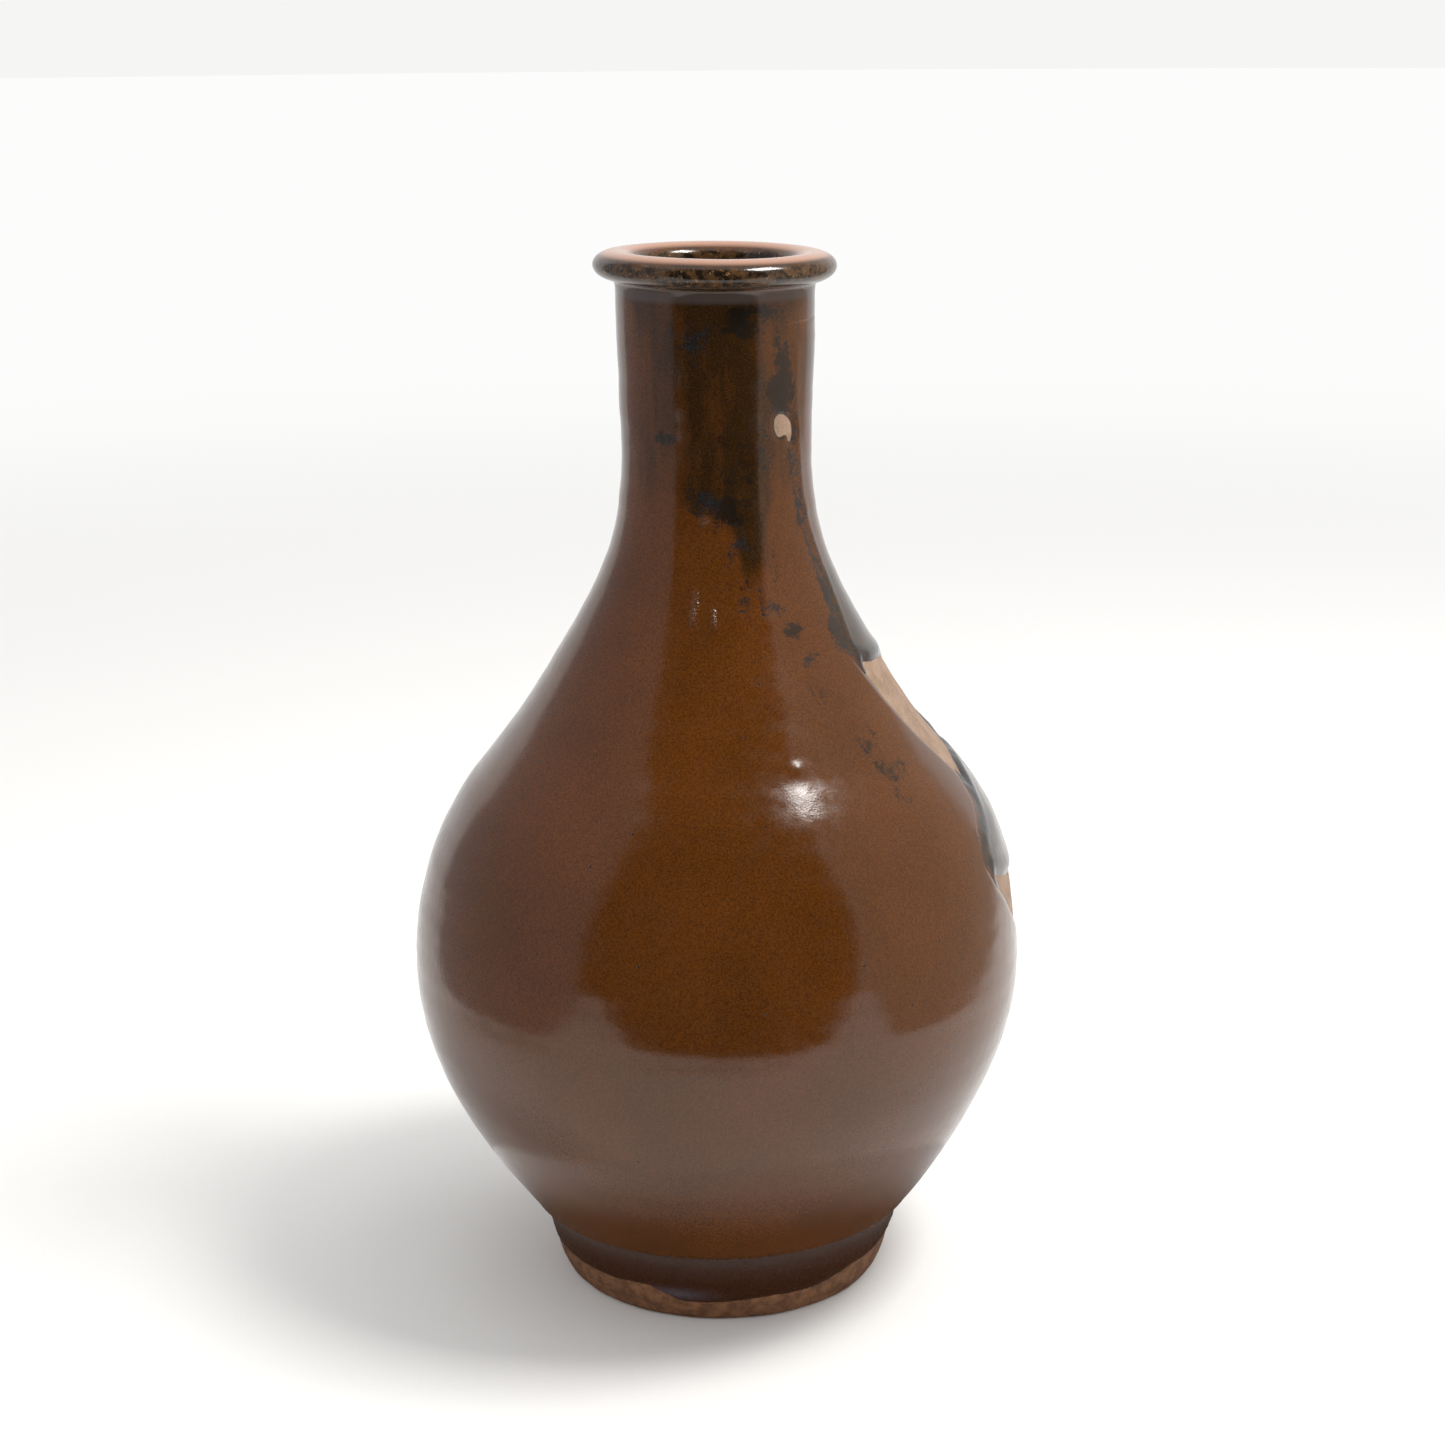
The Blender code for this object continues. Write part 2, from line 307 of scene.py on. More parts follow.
def ridges(azimuth, height):
    """Throwing rings: faint ones that climb slowly all the way up, and a few that stand out."""
    climb = height + 4.0 * azimuth / 360.0
    wave = np.sin(climb / 11.0 * 2 * np.pi + 0.8 * np.sin(np.radians(azimuth) * 2.0))
    wave += 0.6 * np.sin(climb / 6.3 * 2 * np.pi + np.sin(np.radians(azimuth + 40)))
    push = 0.028 * smooth(24, 50, height) * smooth(262, 240, height) * wave
    for centre, width, tall, facing, spread in RINGS:
        away = (azimuth - facing + 180.0) % 360.0 - 180.0
        push = push + tall * np.exp(-(((climb - centre) / width) ** 2) - (away / spread) ** 2)
    return push


# Grains in the clay that lift the glaze: azimuth, height, half-width, how far they stand out
PIMPLES = ((21.7, 151.0, 1.0, 0.5), (34.5, 172.0, 0.45, 0.16), (56.0, 147.0, 0.5, 0.16))


def pimple(azimuth, height):
    out = 0.0
    for a, h, wide, tall in PIMPLES:
        across = np.radians(azimuth - a) * wall_radius(h)
        out = out + tall * np.exp(-((across**2 + (height - h) ** 2) / wide**2))
    return out


# How far the centre wanders to the right at each height
LEAN = (
    (0.0, 0.3),
    (22.0, 0.2),
    (35.0, -0.5),
    (55.0, -0.9),
    (75.0, -0.7),
    (100.0, -0.7),
    (125.0, 0.35),
    (150.0, 0.0),
    (200.0, 0.1),
    (270.0, 0.1),
)


# Where the wall swells past the drawing's outline, or falls short of it: height, half-width, how far
SWELLS = ((148.0, 16.0, -0.9), (76.0, 20.0, 0.35))


def shape(azimuth, s):
    """Points of the glazed surface and its outward directions, for grids of azimuth and length."""
    radius, height, across, up = profile_at(s)
    thrown = ridges(azimuth, height) + pimple(azimuth, height)
    push = np.where((s > WALL_TOP) & (s < WALL_END), thrown, 0.0)
    push = push + 0.16 * lumps(azimuth, s, 30.0, 3.1) + 0.02 * lumps(azimuth, s, 9.0, 7.7)
    for centre, width, tall in SWELLS:
        push = push + tall * np.exp(-(((height - centre) / width) ** 2))
    angle = np.radians(azimuth)
    radius = radius * (1.0 + 0.004 * np.cos(2 * angle + 0.6) * smooth(20, 60, height))
    shift = np.interp(height, *zip(*LEAN))
    tilt = 0.5 * np.sin(angle) * np.exp(-(((height - 21.0) / 5.0) ** 2))
    tilt = tilt - 0.35 * np.sin(angle) * smooth(252.0, 262.0, height)
    out_x, out_y = np.sin(angle), -np.cos(angle)
    points = np.stack([radius * out_x + shift, radius * out_y, height + tilt], -1)
    normals = np.stack([across * out_x, across * out_y, up], -1)
    return points + push[..., None] * normals, normals


def outline(points, count=5):
    """Closed outline as (azimuth, length) samples of a curve through (azimuth, height) points."""
    curve = spline(points, count)
    return np.column_stack([curve[:, 0], height_to_s(curve[:, 1])])


def distance(azimuth, s, closed):
    """Signed distance in millimetres to a closed outline, positive inside it."""
    ends = np.roll(closed, -1, axis=0)
    radius = OUTER.at(s.ravel())[:, 0]
    a, along = azimuth.ravel(), s.ravel()
    best = np.full(a.shape, 1e9)
    inside = np.zeros(a.shape, bool)
    for (a0, s0), (a1, s1) in zip(closed, ends):
        x0, x1 = np.radians(a0 - a) * radius, np.radians(a1 - a) * radius
        y0, y1 = s0 - along, s1 - along
        dx, dy = x1 - x0, y1 - y0
        t = np.clip(-(x0 * dx + y0 * dy) / np.maximum(dx * dx + dy * dy, 1e-9), 0, 1)
        best = np.minimum(best, np.hypot(x0 + t * dx, y0 + t * dy))
        if s0 != s1:
            crosses = (s0 > along) != (s1 > along)
            inside ^= crosses & (a < a0 + (along - s0) / (s1 - s0) * (a1 - a0))
    return np.where(inside, best, -best).reshape(azimuth.shape)


def opening():
    """Outline of the opening in the brown coat, round the pour and the bare clay."""
    left = spline(((46.0, 252.0),) + NECK_EDGE, 5)
    upper = np.array(UPPER_WINDOW)
    run = np.array(RUN_EDGE)
    lower = spline(LOWER_WINDOW + BACK_EDGE + ((160.0, 252.0),), 5)
    points = np.vstack([left, upper, run, lower])
    return np.column_stack([points[:, 0], height_to_s(points[:, 1])])


def pour():
    """Outline of the second glaze, a little over the brown where the two meet."""
    points = spline(((45.0, 253.0),) + NECK_EDGE + FIRST_TONGUE + RUN_EDGE + LOWER_TONGUES, 5)
    points = np.vstack([points, spline(BACK_EDGE + ((160.0, 253.0),), 5)])
    return np.column_stack([points[:, 0], height_to_s(points[:, 1])])


def spacing(stops):
    """Lengths along a profile, from (start, pitch) stops up to a last (end, None)."""
    out = [stops[0][0]]
    for (start, pitch), (end, _) in zip(stops, stops[1:]):
        count = max(1, int(round((end - start) / pitch)))
        out += list(np.linspace(start, end, count + 1)[1:])
    return np.array(out)


def coat_rows():
    at = {h: float(height_to_s(h)) for h in (236, 221, 176, 82, 30)}
    return spacing(
        (
            (0.0, 1.6),
            (nearest_s(*LIP_INSIDE), 0.62),
            (WALL_TOP, 1.6),
            (at[236], 0.8),
            (at[221], 1.6),
            (at[176], 1.05),
            (at[82], 2.4),
            (at[30], 1.2),
            (WALL_END - 1.0, 0.5),
            (WALL_END + 6.0, 0.8),
            (float(foot_to_s(3.0)), None),
        )
    )


def coat_columns():
    return spacing(((-200.0, 2.0), (-60.0, 1.5), (36.0, 0.8), (160.0, None)))[:-1]


def wrapped(azimuth):
    """The same azimuth between -180 and 180."""
    return (azimuth + 180) % 360 - 180


def build(name, points, faces, values, finish):
    """Mesh object from millimetre points, with float attributes by name."""
    mesh = bpy.data.meshes.new(name)
    mesh.from_pydata((np.asarray(points) * MM).tolist(), [], [tuple(map(int, f)) for f in faces])
    for key, field in (values or {}).items():
        attribute = mesh.attributes.new(key, "FLOAT", "POINT")
        attribute.data.foreach_set("value", np.asarray(field, np.float32))
    mesh.shade_smooth()
    mesh.update()
    made = bpy.data.objects.new(name, mesh)
    bpy.context.scene.collection.objects.link(made)
    mesh.materials.append(finish)
    return made


def ring_faces(first, rows, count, flip=False):
    """Quads of a grid that closes round, whose vertices start at first, a row at a time."""
    faces = []
    for row in range(rows - 1):
        for column in range(count):
            after = (column + 1) % count
            a, b = first + row * count + column, first + row * count + after
            c, d = b + count, a + count
            faces.append((a, d, c, b) if not flip else (a, b, c, d))
    return faces


def bands(first, second, count, flip=False):
    """Quads between two rings of vertices."""
    faces = []
    for column in range(count):
        after = (column + 1) % count
        quad = (first + column, second + column, second + after, first + after)
        faces.append(quad if not flip else quad[::-1])
    return faces


def fan(ring, pole, count, flip=False):
    """Triangles between a ring of vertices and the one at its middle."""
    triangles = [(ring + i, ring + (i + 1) % count, pole) for i in range(count)]
    return [(b, a, c) for a, b, c in triangles] if flip else triangles


# The fields that the glazes share, over a grid


def fields(azimuth, s):
    """Distances in millimetres into the opening, the pour, the small holes, and below the foot's line."""
    bare = distance(azimuth, s, opening())
    flow = distance(azimuth, s, pour())
    flow = flow + LAP * smooth(4.0, 1.0, bare)
    wobble = 0.5 * lumps(azimuth, s, 5.0, 11.3) + 0.25 * lumps(azimuth, s, 1.9, 2.2)
    spot = distance(azimuth, s, outline(BARE_SPOT + BARE_SPOT[:1], 4))
    fleck = distance(azimuth, s, outline(FLECK + FLECK[:1], 4))
    hole = np.maximum(spot, fleck)
    line = foot_to_s(np.interp(azimuth, *zip(*FOOT_LINE)))
    below = s - line + 0.5 * wobble
    return bare + 0.35 * wobble, flow + 0.5 * wobble, hole + 0.3 * wobble, below


def coat_thickness(bare, hole, below):
    """Thickness of the brown coat: full away from its edges, and under the clay past them."""
    thick = np.clip(GLAZE * 0.5 - 0.35 * bare, SUNK, GLAZE)
    thick = np.minimum(thick, np.clip(0.05 - 0.4 * hole, SUNK, GLAZE))
    return np.minimum(thick, np.clip(-0.45 * below, SUNK, GLAZE))


def glaze_coat(finish):
    """First glaze: the outside, over the lip into the mouth, with its opening."""
    columns, rows = coat_columns(), coat_rows()
    azimuth, s = np.meshgrid(wrapped(columns), rows)
    bare, _, hole, below = fields(azimuth, s)
    thick = coat_thickness(bare, hole, below)
    points, normals = shape(azimuth, s)
    top = points + (thick - GLAZE)[..., None] * normals
    low_rows = rows[::UNDER_STEP]
    if low_rows[-1] != rows[-1]:
        low_rows = np.concatenate([low_rows, rows[-1:]])
    azimuth2, s2 = np.meshgrid(wrapped(columns), low_rows)
    points2, normals2 = shape(azimuth2, s2)
    under = points2 - UNDER_DEPTH * normals2
    count = len(columns)
    first = len(rows) * count
    faces = ring_faces(0, len(rows), count)
    faces += ring_faces(first, len(low_rows), count, flip=True)
    faces += bands(0, first, count, flip=True)
    faces += bands((len(rows) - 1) * count, first + (len(low_rows) - 1) * count, count)
    fill = np.zeros(len(low_rows) * count)
    values = {
        "edge": np.minimum(-np.maximum(bare, hole), 9.0),
        "mottle": mottles(azimuth, s),
        "olive": olive(azimuth, s),
        "lip": lip_angle(s),
        "painted_floor_reflection": painted_floor_reflection(azimuth, s),
        "sparkle": sparkle(azimuth, s),
    }
    values = {key: np.concatenate([field.ravel(), fill]) for key, field in values.items()}
    points = np.vstack([top.reshape(-1, 3), under.reshape(-1, 3)])
    made = build("glaze_coat", points, faces, values, finish)
    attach(made, "root")
    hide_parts("brown_glaze")
    return made


def lip_angle(s):
    """1 on top of the lip, falling to 0 under it, and below 0 down the neck."""
    return np.where(s < WALL_TOP, profile_at(s)[3], -1.5)


# Groups of dark mottling: azimuth, height, half-width, half-height, strength
MOTTLES = (
    (-13, 250, 6, 8, 0.75),
    (13, 254, 7, 4, 0.9),
    (30, 254, 8, 4, 0.6),
    (11, 220, 9, 14, 0.55),
    (-9, 211, 8, 5, 0.7),
    (6, 209, 8, 5, 0.95),
    (-30, 226, 4, 4, 0.8),
    (13, 200, 5, 4, 0.7),
    (14, 190, 7, 9, 0.5),
    (29, 196, 5, 7, 0.5),
    (24, 186, 7, 4, 0.6),
    (32, 180, 3.0, 2.5, 1.05),
    (36, 173, 4, 3, 0.65),
    (34, 166, 5, 4, 0.5),
    (46, 153, 7, 4, 0.6),
    (48, 147, 5, 4, 0.75),
    (55, 147, 5, 4, 0.55),
    (49, 141, 6, 4, 0.5),
    (67, 125, 4, 5, 0.5),
    (38, 250, 3, 4, 0.9),
    (42, 245, 3.4, 5.5, 1.2),
    (41.5, 237.5, 4.4, 6, 1.6),
    (24, 257, 9, 2.5, 0.9),
    (30, 222, 4, 10, 0.6),
    (52, 221, 2.2, 7, 1.1),
    (56, 209, 2.2, 8, 1.15),
    (61, 196, 2.6, 8, 1.15),
    (61, 186, 2.8, 8, 1.15),
    (57, 177, 4, 5, 1.2),
    (-100, 240, 10, 20, 0.7),
    (-140, 215, 12, 14, 0.8),
    (175, 225, 10, 25, 0.8),
    (-60, 190, 6, 6, 0.35),
    (-120, 165, 12, 8, 0.5),
)


def mottles(azimuth, s):
    """Where dark mottling gathers, from 0 up."""
    radius, height = profile_at(s)[:2]
    total = np.zeros(s.shape)
    for a, h, wide, tall, strong in MOTTLES:
        across = ((azimuth - a + 180) % 360 - 180) * np.pi / 180 * radius
        total = np.maximum(total, strong * np.exp(-((across / wide) ** 2) - ((height - h) / tall) ** 2))
    return total


def olive(azimuth, s):
    """Where the glaze turns olive: the neck, down to a soft ledge that is lower at the right front."""
    height = profile_at(s)[1]
    front = np.exp(-(((azimuth + 6.0) / 24.0) ** 2))
    ledge = 206.5 - 22.0 * np.exp(-(((azimuth - 20.0) / 11.0) ** 2))
    soft = 16.0 - 14.0 * np.exp(-(((azimuth + 8.0) / 16.0) ** 2))
    amount = 0.62 + 0.38 * front + 0.35 * np.exp(-(((azimuth - 16.0) / 10.0) ** 2))
    return smooth(-0.4, 1.0, (height - ledge) / soft) * np.minimum(amount, 1.0)


def painted_floor_reflection(azimuth, s):
    """Painted reflection of the bright floor: a bluish patch low on the foot's glaze."""
    across = np.exp(-(((azimuth + 16.0) / 11.0) ** 2))
    low = foot_to_s(8.6)
    return across * np.exp(-(((s - low) / 1.6) ** 2))


# Patches of tiny ripples on the neck's root: azimuth, height, half-width, half-height
SPARKLES = ((-10.0, 186.0, 1.0, 4.5), (-1.5, 184.0, 0.8, 3.0), (-6.0, 207.0, 1.6, 1.6))


def sparkle(azimuth, s):
    """Where tiny ripples gather, 0 to 1."""
    radius, height = profile_at(s)[:2]
    total = np.zeros(s.shape)
    for a, h, wide, tall in SPARKLES:
        across = np.radians(azimuth - a) * radius
        total = np.maximum(total, np.exp(-((across / wide) ** 4) - ((height - h) / tall) ** 4))
    return total


def glaze_pour(finish):
    """Second glaze, which ran down the right and back in tongues."""
    pitches = ((254.0, 1.2), (236, 0.8), (221, 1.3), (176, 0.95), (98, None))
    rows = spacing([(float(height_to_s(height)), pitch) for height, pitch in pitches])
    columns = spacing(((40.0, 0.75), (165.0, None)))
    azimuth, s = np.meshgrid(columns, rows)
    bare, flow, hole, _ = fields(azimuth, s)
    over_clay = smooth(0.8, 3.5, bare)
    pooled = 0.25 * np.exp(-(((flow - 2.5) / 2.0) ** 2))
    on_clay = np.clip(0.12 + 0.42 * flow, -0.35, GLAZE * 1.25) + pooled
    on_brown = GLAZE - 0.25 + 0.25 * smooth(-0.5, 1.0, flow) + 0.12 * smooth(0.5, 5.0, flow)
    on_brown = np.minimum(on_brown, GLAZE + 0.35 + 0.5 * flow)
    thick = on_brown + (on_clay - on_brown) * over_clay
    thick = np.minimum(thick, np.clip(0.05 - 0.4 * hole, -0.35, 2.0))
    points, normals = shape(azimuth, s)
    top = points + (thick - GLAZE)[..., None] * normals
    under = points - (GLAZE + SEATED) * normals
    rows_n, columns_n = azimuth.shape
    keep = flow > -2.2
    index = np.arange(rows_n * columns_n).reshape(rows_n, columns_n)
    cell = keep[:-1, :-1] | keep[1:, :-1] | keep[:-1, 1:] | keep[1:, 1:]
    a, b = index[:-1, :-1][cell], index[:-1, 1:][cell]
    d, c = index[1:, :-1][cell], index[1:, 1:][cell]
    quads = np.column_stack([a, d, c, b])
    used, packed = np.unique(quads, return_inverse=True)
    packed = packed.reshape(quads.shape)
    count = len(used)
    faces = [tuple(q) for q in packed] + [tuple(q[::-1] + count) for q in packed]
    directed = {}
    for quad in packed:
        for start, end in zip(quad, np.roll(quad, -1)):
            directed[(int(start), int(end))] = True
    for start, end in directed:
        if (end, start) not in directed:
            faces.append((end, start, start + count, end + count))
    points = np.vstack([top.reshape(-1, 3)[used], under.reshape(-1, 3)[used]])
    fill = np.zeros(count)
    values = {
        "edge": np.minimum(flow, 20.0),
        "bare": bare,
        "mottle": mottles(azimuth, s),
        "olive": olive(azimuth, s),
    }
    values = {key: np.concatenate([field.ravel()[used], fill]) for key, field in values.items()}
    made = build("glaze_pour", points, faces, values, finish)
    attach(made, "root")
    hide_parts("poured_glaze")
    return made


def inner_points():
    """Visible inside of the wall, from under the mouth down to where the floor starts."""
    heights = np.linspace(257.5, 40.0, 90)
    depth = GLAZE + 0.3 + np.interp(heights, WALL_HEIGHTS, WALL_THICKNESS)
    step = 0.05
    slope = (wall_radius(heights + step) - wall_radius(heights - step)) / (2 * step)
    length = np.hypot(1.0, slope)
    radius, z = wall_radius(heights) - depth / length, heights + depth * slope / length
    return np.column_stack([radius, z])


def liner_path():
    wall = inner_points()
    down = (wall[-1] - wall[-2]) / np.hypot(*(wall[-1] - wall[-2]))
    corner = bezier(wall[-1], wall[-1] + 13 * down, (44.0, 25.7), (32.0, 25.5), 16)
    floor = np.column_stack([np.linspace(32.0, 0.0, 10)[1:], np.full(9, 25.4)])
    return np.vstack([wall, corner[1:], floor])


def revolve(name, profile, columns, finish, nodes, push=0.0):
    """Closed turned solid whose profile is a loop; radius 0 makes a pole. Push makes it uneven."""
    above = Vector((0.0, 0.0, 1.0))
    count = len(columns)
    angle = np.radians(columns)
    points, starts = [], []
    for radius, height in profile:
        starts.append(len(points))
        if radius < 1e-6:
            points.append((0.0, 0.0, height))
            continue
        for a in angle:
            place = Vector((radius * math.sin(a), radius * math.cos(a), height))
            wave = push * noise.noise(place / 9 + above)
            wave += 0.4 * push * noise.noise(place / 2.5 + above)
            points.append(((radius + wave) * math.sin(a), -(radius + wave) * math.cos(a), height))
    faces = []
    pairs = list(zip(range(len(profile)), list(range(1, len(profile))) + [0]))
    for one, two in pairs:
        pole_one, pole_two = profile[one][0] < 1e-6, profile[two][0] < 1e-6
        if pole_one and pole_two:
            continue
        for column in range(count):
            after = (column + 1) % count
            if pole_one:
                faces.append((starts[one], starts[two] + column, starts[two] + after))
            elif pole_two:
                faces.append((starts[one] + column, starts[two], starts[one] + after))
            else:
                lower, upper = starts[two], starts[one]
                faces.append((upper + column, lower + column, lower + after, upper + after))
    made = build(name, points, faces, None, finish)
    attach(made, "root")
    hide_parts(*nodes)
    return made


def glaze_liner(finish):
    """Liner: the inside of the wall and the floor, with a hidden underside in the clay."""
    inside = [(r, z) for r, z in liner_path()]
    hidden = [(r + SEATED if r > 1 else r, z - (SEATED if z < 40 else 0.0)) for r, z in inside[::-1]]
    profile = (inside + hidden)[::-1]
    return revolve("glaze_liner", profile, np.arange(0, 360, 3.0), finish, ["inner_glaze"])


def clay_body(finish):
    """The wall of clay from the lip to the crease, and the floor inside the foot."""
    columns = coat_columns()
    rows = coat_rows()
    count = len(columns)
    fine = (rows > height_to_s(240)) & (rows < height_to_s(80))
    keep = fine | (np.arange(len(rows)) % 3 == 0)
    keep &= (rows > 8.0) & (rows < WALL_END + 6.0)
    rows = rows[keep]
    azimuth, s = np.meshgrid(wrapped(columns), rows)
    points, normals = shape(azimuth, s)
    outer = points - GLAZE * normals
    inner = inner_points()
    inner[:, 0] += 0.45
    corner = bezier(inner[-1], (52.0, 32.8), (46.0, 25.1), (33.0, 24.9), 8)
    inside = np.vstack([(19.6, 262.0), inner[2::3], corner[1:], (12.0, FLOOR_TOP)])
    underside = ((45.0, 17.0), (35.0, 14.9), (12.0, FLOOR_BOTTOM))
    angle = np.radians(columns)

    def ring(r, z):
        return np.column_stack([r * np.sin(angle), -r * np.cos(angle), np.full(count, z)])

    rings = [ring(r, z) for r, z in underside] + [np.array([[0.0, 0.0, FLOOR_BOTTOM]])]
    inside_rings = [ring(r, z) for r, z in inside] + [np.array([[0.0, 0.0, FLOOR_TOP]])]
    blocks = [outer.reshape(-1, 3)] + rings + inside_rings
    starts = np.cumsum([0] + [len(b) for b in blocks])
    faces = ring_faces(0, len(rows), count)
    last = (len(rows) - 1) * count
    chain = [last] + list(starts[1:4])
    for one, two in zip(chain, chain[1:]):
        faces += bands(one, two, count)
    faces += fan(int(starts[3]), int(starts[4]), count, flip=True)
    chain = [0] + list(starts[5 : 5 + len(inside)])
    for one, two in zip(chain, chain[1:]):
        faces += bands(one, two, count, flip=True)
    faces += fan(int(starts[4 + len(inside)]), int(starts[5 + len(inside)]), count)
    made = build("clay_body", np.vstack(blocks), faces, None, finish)
    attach(made, "root")
    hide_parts("lower_body", "shoulder_section", "neck_section", "rolled_lip")
    return made


def clay_foot(finish):
    """Foot ring: outer side under the glaze, worn rim, flat underside and the recess's wall."""
    side = [(46.5, 20.4)] + [(r - GLAZE * 0.85, z) for r, z in spline(FOOT_SIDE, 3)]
    rim = [(41.9, 0.7), (41.3, 0.25), (40.5, 0.0), (37.0, 0.0), (33.0, 0.0), (32.0, 0.15), (31.3, 0.8)]
    wall = [(31.7, 4.0), (32.4, 8.0), (32.7, 11.0), (32.0, 13.2), (30.4, 14.4), (28.0, 15.0)]
    wall += [(28.0, 16.2), (36.0, 17.5), (45.0, 19.4)]
    columns = np.arange(0, 360, 2.0)
    profile = side + rim + wall
    return revolve("clay_foot", profile, columns, finish, ["foot_ring"], push=0.22)


# Materials


class Nodes:
    """Short names for building one material's nodes."""

    def __init__(self, name):
        self.material = bpy.data.materials.new(name)
        self.material.use_nodes = True
        self.tree = self.material.node_tree
        self.shader = self.tree.nodes["Principled BSDF"]
        self.place = self.tree.nodes.new("ShaderNodeTexCoord").outputs["Object"]

    def new(self, kind, **settings):
        node = self.tree.nodes.new(kind)
        for key, value in settings.items():
            setattr(node, key, value)
        return node

    def put(self, socket, value):
        if isinstance(value, bpy.types.NodeSocket):
            self.tree.links.new(value, socket)
        elif isinstance(value, (tuple, list)) and len(value) == 3 and socket.type == "RGBA":
            socket.default_value = (*value, 1.0)
        else:
            socket.default_value = value

    def noise(self, size, detail=2.0, rough=0.5, stretch=None):
        """Noise with features of that size in millimetres, 0 to 1."""
        node = self.new("ShaderNodeTexNoise")
        self.put(node.inputs["Scale"], 1.0 / (size * MM))
        self.put(node.inputs["Detail"], detail)
        self.put(node.inputs["Roughness"], rough)
        vector = self.place
        if stretch:
            mapping = self.new("ShaderNodeMapping")
            self.put(mapping.inputs["Vector"], self.place)
            mapping.inputs["Scale"].default_value = stretch
            vector = mapping.outputs["Vector"]
        self.put(node.inputs["Vector"], vector)
        return node.outputs["Fac"]

    def cells(self, size):
        """Distance to the nearest of scattered points, 0 to about 1."""
        node = self.new("ShaderNodeTexVoronoi")
        self.put(node.inputs["Scale"], 1.0 / (size * MM))
        self.put(node.inputs["Vector"], self.place)
        return node.outputs["Distance"], node.outputs["Color"]

    def math(self, kind, a, b):
        node = self.new("ShaderNodeMath", operation=kind)
        self.put(node.inputs[0], a)
        self.put(node.inputs[1], b)
        return node.outputs[0]

    def band(self, value, low, high, out_low=0.0, out_high=1.0):
        """Smooth step from out_low to out_high as the value goes from low to high."""
        node = self.new("ShaderNodeMapRange", interpolation_type="SMOOTHSTEP")
        self.put(node.inputs["Value"], value)
        self.put(node.inputs["From Min"], low)
        self.put(node.inputs["From Max"], high)
        self.put(node.inputs["To Min"], out_low)
        self.put(node.inputs["To Max"], out_high)
        return node.outputs["Result"]

    def mix(self, factor, a, b):
        node = self.new("ShaderNodeMix", data_type="RGBA")
        self.put(node.inputs[0], factor)
        self.put(node.inputs[6], a)
        self.put(node.inputs[7], b)
        return node.outputs[2]

    def field(self, name):
        return self.new("ShaderNodeAttribute", attribute_name=name).outputs["Fac"]

    def height(self):
        """Height in millimetres."""
        split = self.new("ShaderNodeSeparateXYZ")
        self.put(split.inputs[0], self.place)
        return self.math("DIVIDE", split.outputs["Z"], MM)

    def bump(self, height, size, normal=None):
        """Bump whose full height is that size in millimetres."""
        node = self.new("ShaderNodeBump")
        node.inputs["Strength"].default_value = 1.0
        node.inputs["Distance"].default_value = size * MM
        self.put(node.inputs["Height"], height)
        if normal is not None:
            self.put(node.inputs["Normal"], normal)
        return node.outputs["Normal"]

    def done(self, colour, roughness, normal, **constants):
        self.put(self.shader.inputs["Base Color"], colour)
        self.put(self.shader.inputs["Roughness"], roughness)
        self.put(self.shader.inputs["Normal"], normal)
        for key, value in constants.items():
            self.shader.inputs[key.replace("_", " ")].default_value = value
        return self.material


BROWN = (0.068, 0.0205, 0.0024)
RUST = (0.080, 0.0240, 0.0032)
OLIVE = (0.0200, 0.0092, 0.0021)
INK = (0.0050, 0.0055, 0.0045)
BLUE_INK = (0.0095, 0.0130, 0.0165)
PLUM = (0.0150, 0.0075, 0.0085)
MILKY = (0.062, 0.046, 0.042)


def speckle(nodes, colour, dark=0.7, light=1.32):
    """Fine grain over a colour."""
    grain = nodes.noise(0.45, 2.0, 0.6)
    shade = nodes.new("ShaderNodeMix", data_type="RGBA", blend_type="MULTIPLY")
    shade.inputs[0].default_value = 1.0
    nodes.put(shade.inputs[6], colour)
    value = nodes.band(grain, 0.3, 0.7, dark, light)
    grey = nodes.new("ShaderNodeCombineColor")
    for socket in grey.inputs:
        nodes.put(socket, value)
    nodes.put(shade.inputs[7], grey.outputs[0])
    return shade.outputs[2]


def brown_colour(nodes):
    """Brown glaze with its clouds, the olive neck and the dark mottling."""
    clouds = nodes.noise(26.0, 3.0, 0.5)
    colour = nodes.mix(nodes.band(clouds, 0.35, 0.65), BROWN, RUST)
    streaks = nodes.noise(9.0, 3.0, 0.6, (1.0, 1.0, 0.25))
    olive = nodes.math("ADD", nodes.field("olive"), nodes.band(streaks, 0.35, 0.65, -0.42, 0.15))
    colour = nodes.mix(nodes.math("MULTIPLY", nodes.band(olive, 0.1, 1.0), 0.9), colour, OLIVE)
    fine = nodes.math("MULTIPLY", nodes.noise(1.3, 5.0, 0.8), 0.62)
    coarse = nodes.math("MULTIPLY", nodes.noise(3.6, 2.0, 0.5), 0.38)
    gathered = nodes.math("MULTIPLY", nodes.field("mottle"), 0.33)
    spots = nodes.math("ADD", nodes.math("ADD", fine, coarse), gathered)
    spots = nodes.band(spots, 0.645, 0.765)
    ink = nodes.mix(nodes.band(nodes.noise(14.0), 0.4, 0.6), INK, BLUE_INK)
    colour = nodes.mix(nodes.math("MULTIPLY", spots, 0.8), colour, ink)
    return speckle(nodes, colour)


def ripples(nodes):
    """Glaze surface: fine orange peel over slow ripples."""
    bump = nodes.bump(nodes.noise(0.5, 2.0, 0.5), 0.015)
    return nodes.bump(nodes.noise(4.0, 2.0, 0.5), 0.04, bump)


def glaze_roughness(nodes):
    return nodes.band(nodes.noise(3.0, 3.0), 0.3, 0.7, 0.12, 0.19)


